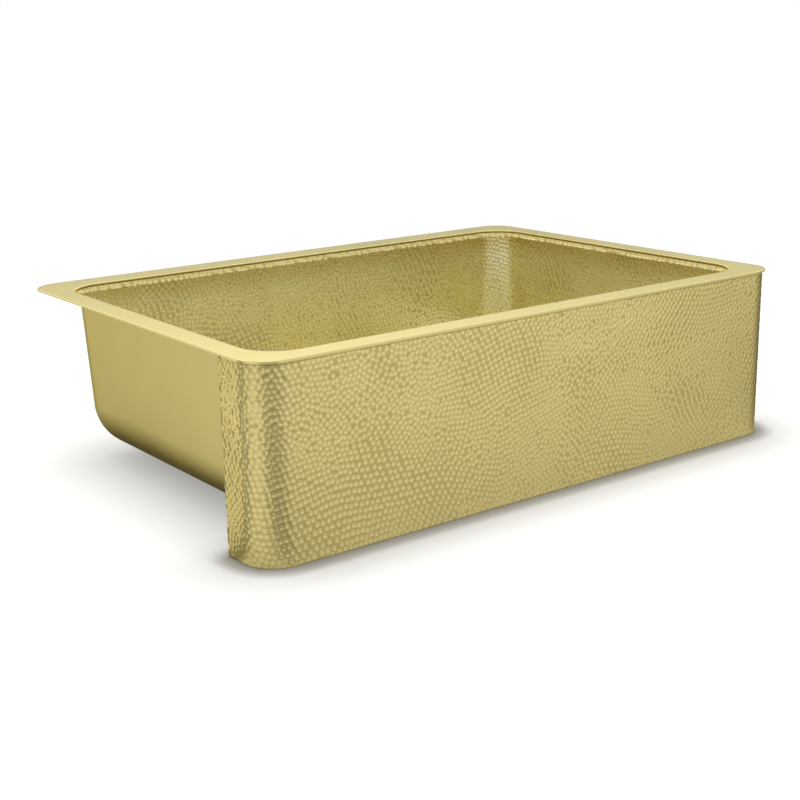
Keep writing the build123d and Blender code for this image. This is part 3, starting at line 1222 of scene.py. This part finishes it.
@dataclass
class Camera:
    """The camera, where the photograph was taken from."""

    eye: Triple = (-1.117485, -1.478172, 0.570893)
    heading: float = 0.6413          # to the right of +Y, radians
    pitch: float = -0.2697           # up
    roll: float = 0.0188
    lens: float = 61.92              # mm, on a sensor 36 mm wide
    sensor: float = 36.0
    clip: tuple[float, float] = (0.05, 50.0)

    def build(self) -> None:
        """Sets the camera up."""
        a, e, r = self.heading, self.pitch, self.roll
        ahead = Vector((math.sin(a) * math.cos(e), math.cos(a) * math.cos(e), math.sin(e)))
        right = Vector((math.cos(a), -math.sin(a), 0.0))
        down = ahead.cross(right)
        tilted_right = math.cos(r) * right + math.sin(r) * down
        tilted_down = -math.sin(r) * right + math.cos(r) * down
        data = bpy.data.cameras.new("camera")
        data.lens = self.lens
        data.sensor_width = self.sensor
        data.sensor_fit = "HORIZONTAL"
        data.clip_start, data.clip_end = self.clip
        place = Matrix((tilted_right, -tilted_down, -ahead)).transposed().to_4x4()
        place.translation = Vector(self.eye)
        camera = placed("camera", data)
        camera.matrix_world = place
        bpy.context.scene.camera = camera


@dataclass(frozen=True)
class Brightness:
    """What the brass shows of the room: plain to the eye, and less where its shine would light the floor."""

    bounced: Ramp = Ramp(0.0, 1.0, 1.0, 0.65)    # by the number of times the light has met a matt surface

    def wire(self, wiring: ShaderWiring, strength: bpy.types.NodeSocket) -> bpy.types.NodeSocket:
        """Returns the strength of a light as the brass shows it."""
        depth = wiring.add("ShaderNodeLightPath").outputs["Diffuse Depth"]
        return wiring.calc("MULTIPLY", strength, wiring.ramp(depth, self.bounced))


@dataclass
class FloorShine:
    """How bright the brass sees the floor: darker close by, and in stretches beside the apron's left bend.

    Directions are in degrees round the bend, from straight ahead of the apron towards its left.
    """

    near: float = 0.66               # beside the sink,
    far: float = 1.17                # far away,
    half_way: float = 1.0            # and half way between the two at this distance, metres
    wedge: Ramp = Ramp(-18.0, 2.0, 0.0, 0.40)    # how much darker the wedge before the bend turns,
    wedge_edge: Ramp = Ramp(53.0, 59.0)          # where it gives way to the left,
    wedge_shift: float = 0.08        # seen from this far to the right of the bend, metres
    left: float = 1.04               # how bright the floor to the left is,
    left_edge: Ramp = Ramp(100.0, 110.0)         # which it is everywhere past here
    dip: Ramp = Ramp(98.0, 116.0, 0.90, 0.36)    # the narrow dark stretch in it, as a share: down,
    rise: Ramp = Ramp(122.0, 138.0, 0.0, 0.64)   # and up again
    rear: Ramp = Ramp(150.0, 180.0, 0.0, 0.45)   # how much darker it turns behind
    beside: Ramp = Ramp(0.0, 0.12, 0.7, 1.0)     # by distance: it is darker along the sink
    right: Ramp = Ramp(25.0, 100.0, 1.03, 0.20)  # the floor round the right bend, by direction there
    under: Ramp = Ramp(-0.05, 0.0, 0.35, 1.0)    # how much is left of it under the sink
    seam: float = 150.0              # the direction where the turn starts over

    def wire(self, wiring: ShaderWiring, place: bpy.types.NodeSocket,
             past: tuple[bpy.types.NodeSocket, ...], away: bpy.types.NodeSocket) -> bpy.types.NodeSocket:
        """Wires the floor's light in the brass.

        Args:
            wiring: The material's wiring.
            place: The floor's coordinates.
            past: How far past the sink's footprint the place lies, along X and along Y.
            away: How far outside it the place lies.

        Returns:
            The strength of the floor's light.
        """
        calc, ramp = wiring.calc, wiring.ramp
        x, y, _ = wiring.parts(place)
        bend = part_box("apron_skin")[0] + Vector((Apron.bend, Apron.bend, 0.0))
        ahead = calc("SUBTRACT", bend.y, y)
        turned = calc("ADD", self._direction(wiring, calc("SUBTRACT", bend.x, x), ahead), self.seam)
        side = calc("SUBTRACT", calc("FLOORED_MODULO", turned, 360.0), self.seam)
        shifted = self._direction(wiring, calc("SUBTRACT", bend.x + self.wedge_shift, x), ahead)
        other = self._direction(wiring, calc("ADD", x, bend.x), ahead)
        rise = calc("DIVIDE", away, calc("ADD", away, self.half_way))
        plain = calc("ADD", calc("MULTIPLY", rise, self.far - self.near), self.near)
        front = calc("MULTIPLY", plain, ramp(other, self.right))
        dark = calc("MULTIPLY", front, calc("SUBTRACT", 1.0, ramp(side, self.wedge)))
        streak = calc("SUBTRACT", calc("ADD", ramp(side, self.dip), ramp(side, self.rise)),
                      ramp(side, self.rear))
        left = calc("MULTIPLY", calc("MULTIPLY", streak, self.left), ramp(away, self.beside))
        share = calc("MAXIMUM", ramp(shifted, self.wedge_edge), ramp(side, self.left_edge))
        both = calc("ADD", dark, calc("MULTIPLY", share, calc("SUBTRACT", left, dark)))
        return calc("MULTIPLY", both, ramp(calc("MAXIMUM", *past), self.under))

    @staticmethod
    def _direction(wiring: ShaderWiring, left: bpy.types.NodeSocket,
                   ahead: bpy.types.NodeSocket) -> bpy.types.NodeSocket:
        """Returns the direction of a place that lies so far to the left and ahead, in degrees."""
        return wiring.calc("DEGREES", wiring.calc("ARCTAN2", left, ahead))


@dataclass
class Floor:
    """The pale floor: shaded beside the sink, plain white farther off, and lit by place in the brass."""

    size: float = 120.0
    gap: float = 0.3 * MM            # it lies this far below the sink
    tones: tuple[Triple, Triple] = ((0.90, 0.895, 0.885), (0.915, 0.91, 0.90))
    speck: float = 0.02              # size of its mottling, metres
    glow: float = 0.79               # its own light, which the sink shades
    shade_reach: float = 0.10        # over this distance, metres,
    shade_power: float = 1.3
    contact: float = 0.03            # and to nothing where the apron's foot is nearer than this
    contact_power: float = 4.0
    deepest: float = 0.35            # what is left of it under the bowl,
    bowl_start: float = 0.06         # which takes over within this distance behind the apron
    shade_samples: int = 8
    plain: Ramp = Ramp(0.5, 1.2)     # it turns plain white between these distances
    metal_colour: Triple = (1.0, 0.97, 0.85)     # its light in the brass
    shine: FloorShine = field(default_factory=FloorShine)

    def build(self) -> None:
        """Lays the floor."""
        half = self.size / 2
        mesh = bpy.data.meshes.new("floor")
        mesh.from_pydata([(-half, -half, 0), (half, -half, 0), (half, half, 0), (-half, half, 0)], [],
                         [(0, 1, 2, 3)])
        mesh.transform(Matrix.Translation((0, 0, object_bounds()[0].z - self.gap)))
        mesh.materials.append(self.material())
        floor = placed("floor", mesh)
        floor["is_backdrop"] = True

    def material(self) -> bpy.types.Material:
        """Makes the floor's material.

        Returns:
            The new material.
        """
        made = bpy.data.materials.new("pale_floor")
        wiring = blank_tree(made)
        place = wiring.add("ShaderNodeTexCoord").outputs["Object"]
        past, away = self._distances(wiring, place)
        path = wiring.add("ShaderNodeLightPath").outputs
        colour = wiring.blend(wiring.noise(place, self.speck), *(tint(tone) for tone in self.tones))
        matt = wiring.add("ShaderNodeBsdfDiffuse", {"Color": colour}).outputs[0]
        lit = wiring.add("ShaderNodeEmission", {"Strength": self._glow(wiring, place)}).outputs[0]
        shaded = wiring.add("ShaderNodeAddShader", {0: matt, 1: lit}).outputs[0]
        white = wiring.add("ShaderNodeEmission", {"Strength": 1.0}).outputs[0]
        strength = Brightness().wire(wiring, self.shine.wire(wiring, place, past, away))
        metal = wiring.add("ShaderNodeEmission", {"Color": tint(self.metal_colour), "Strength": strength})
        seen = self._mixed(wiring, wiring.ramp(away, self.plain), shaded, white)
        eye = self._mixed(wiring, path["Is Camera Ray"], matt, seen)
        both = self._mixed(wiring, path["Is Glossy Ray"], eye, metal.outputs[0])
        wiring.add("ShaderNodeOutputMaterial", {"Surface": both})
        return made

    @staticmethod
    def _mixed(wiring: ShaderWiring, share: bpy.types.NodeSocket, first: bpy.types.NodeSocket,
               second: bpy.types.NodeSocket) -> bpy.types.NodeSocket:
        """Returns a mix of two shaders."""
        return wiring.add("ShaderNodeMixShader", {0: share, 1: first, 2: second}).outputs[0]

    def _glow(self, wiring: ShaderWiring, place: bpy.types.NodeSocket) -> bpy.types.NodeSocket:
        """The floor's own light, shaded softly under the bowl and closely along the apron's foot.

        Args:
            wiring: The material's wiring.
            place: The floor's coordinates.

        Returns:
            The strength of the light.
        """
        calc = wiring.calc
        wide, tight = (wiring.add("ShaderNodeAmbientOcclusion", {"Distance": reach},
                                  samples=self.shade_samples).outputs["AO"]
                       for reach in (self.shade_reach, self.contact))
        foot = calc("MULTIPLY", calc("POWER", wide, self.shade_power),
                    calc("POWER", tight, self.contact_power))
        bowl = wiring.ramp(wide, Ramp(0.0, 1.0, self.deepest, 1.0))
        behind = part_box("apron_skin")[1].y
        share = wiring.ramp(wiring.parts(place)["Y"], Ramp(behind, behind + self.bowl_start))
        shade = calc("ADD", foot, calc("MULTIPLY", share, calc("SUBTRACT", bowl, foot)))
        return calc("MULTIPLY", shade, self.glow)

    @staticmethod
    def _distances(wiring: ShaderWiring, place: bpy.types.NodeSocket
                   ) -> tuple[tuple[bpy.types.NodeSocket, ...], bpy.types.NodeSocket]:
        """How far a point of the floor lies from the sink's footprint.

        Args:
            wiring: The material's wiring.
            place: The floor's coordinates.

        Returns:
            How far it lies past the footprint along X and along Y, and how far outside it.
        """
        calc = wiring.calc
        past = tuple(calc("SUBTRACT", calc("ABSOLUTE", part), half)
                     for part, half in zip(wiring.parts(place), CAD_BOX[1][:2]))
        x, y = (calc("POWER", calc("MAXIMUM", part, 0.0), 2.0) for part in past)
        return past, calc("SQRT", calc("ADD", x, y))


@dataclass
class Room:
    """The room's soft light: white to the eye, and in the brass dim low behind the sink and bright above."""

    fill: float = 0.13               # the room's light on the floor
    horizon: Ramp = Ramp(-0.2, 0.4, 1.0, 0.48)   # low down in the brass, from the front to behind the sink,
    above: Ramp = Ramp(-0.1, 0.3, 1.0, 1.55)     # and the same a little higher
    above_start: Ramp = Ramp(0.16, 0.25)         # by height
    overhead: float = 0.92           # the ceiling
    overhead_start: Ramp = Ramp(0.29, 0.45)      # by height
    pale: Triple = (1.0, 1.0, 0.99)
    warm: Triple = (1.0, 0.965, 0.79)            # the ceiling in the brass
    lamp_place: Triple = (0.2, 0.1, 2.4)
    lamp_size: float = 2.6
    lamp_power: float = 18.0

    def build(self) -> None:
        """Makes the light all round."""
        world = bpy.data.worlds.new("studio")
        wiring = blank_tree(world)
        calc, ramp = wiring.calc, wiring.ramp
        _, y, z = wiring.parts(wiring.add("ShaderNodeTexCoord").outputs["Generated"])
        path = wiring.add("ShaderNodeLightPath").outputs
        horizon, beyond = ramp(y, self.horizon), ramp(z, self.overhead_start)
        rise = calc("SUBTRACT", ramp(y, self.above), horizon)
        band = calc("ADD", horizon, calc("MULTIPLY", ramp(z, self.above_start), rise))
        rest = calc("MULTIPLY", beyond, calc("SUBTRACT", self.overhead, band))
        seen = Brightness().wire(wiring, calc("ADD", band, rest))
        glossy = calc("MULTIPLY", path["Is Glossy Ray"], seen)
        fill = ramp(path["Is Camera Ray"], Ramp(0.0, 1.0, self.fill, 1.0))
        plain = calc("MULTIPLY", calc("SUBTRACT", 1.0, path["Is Glossy Ray"]), fill)
        warmth = calc("MULTIPLY", beyond, path["Is Glossy Ray"])
        colour = wiring.blend(warmth, tint(self.pale), tint(self.warm))
        light = wiring.add("ShaderNodeBackground", {"Color": colour, "Strength": calc("ADD", glossy, plain)})
        wiring.add("ShaderNodeOutputWorld", {"Surface": light.outputs[0]})
        bpy.context.scene.world = world

    def hang_lamp(self) -> None:
        """Hangs the wide soft lamp over the sink."""
        data = bpy.data.lights.new("overhead", "AREA")
        data.size = self.lamp_size
        data.energy = self.lamp_power
        lamp = placed("overhead", data)
        lamp.location = self.lamp_place
        lamp.visible_glossy = False


def main() -> None:
    """Builds the sink and the studio, and reports each piece."""
    logging.basicConfig(level=logging.INFO, format="%(name)s %(message)s")
    Camera().build()
    Floor().build()
    room = Room()
    room.build()
    room.hang_lamp()
    bpy.context.scene.view_settings.view_transform = "Standard"
    struck = StruckBrass(colour=(0.73, 0.635, 0.30), roughness=0.20, grain=1.5 * MM,
                         grain_depth=0.006 * MM).material("struck_brass")
    bowl = HeightShadedBrass(colour=(0.74, 0.645, 0.33), roughness=0.26, crest=(0.74, 0.69, 0.56),
                        crest_mark=0.30, grain=3 * MM, grain_depth=0.004 * MM).material("bowl_brass")
    plain = Brass(colour=(0.655, 0.57, 0.265), edge=(0.75, 0.67, 0.38), grain=1.6 * MM,
                  grain_stretch=(1, 1, 12), grain_depth=0.012 * MM, roughness=0.32).material("drawn_brass")
    brushed = Brass(colour=(0.72, 0.64, 0.335), edge=(0.97, 0.91, 0.64), grain=1.2 * MM,
                    grain_depth=0.008 * MM, grain_stretch=(16, 1, 1),
                    grain_turn=(0, 0, math.radians(35)), roughness=0.17).material("brushed_brass")
    mill = Brass(colour=(0.60, 0.51, 0.25), roughness=0.42).material("mill_brass")
    smith = Smith(BlowTree().tree)
    Apron().build(smith, (struck, plain))
    Bowl().build(smith, (bowl, plain))
    RimPlate().build(brushed)
    Stiffeners(mill).dress()


if __name__ == "__main__":
    main()
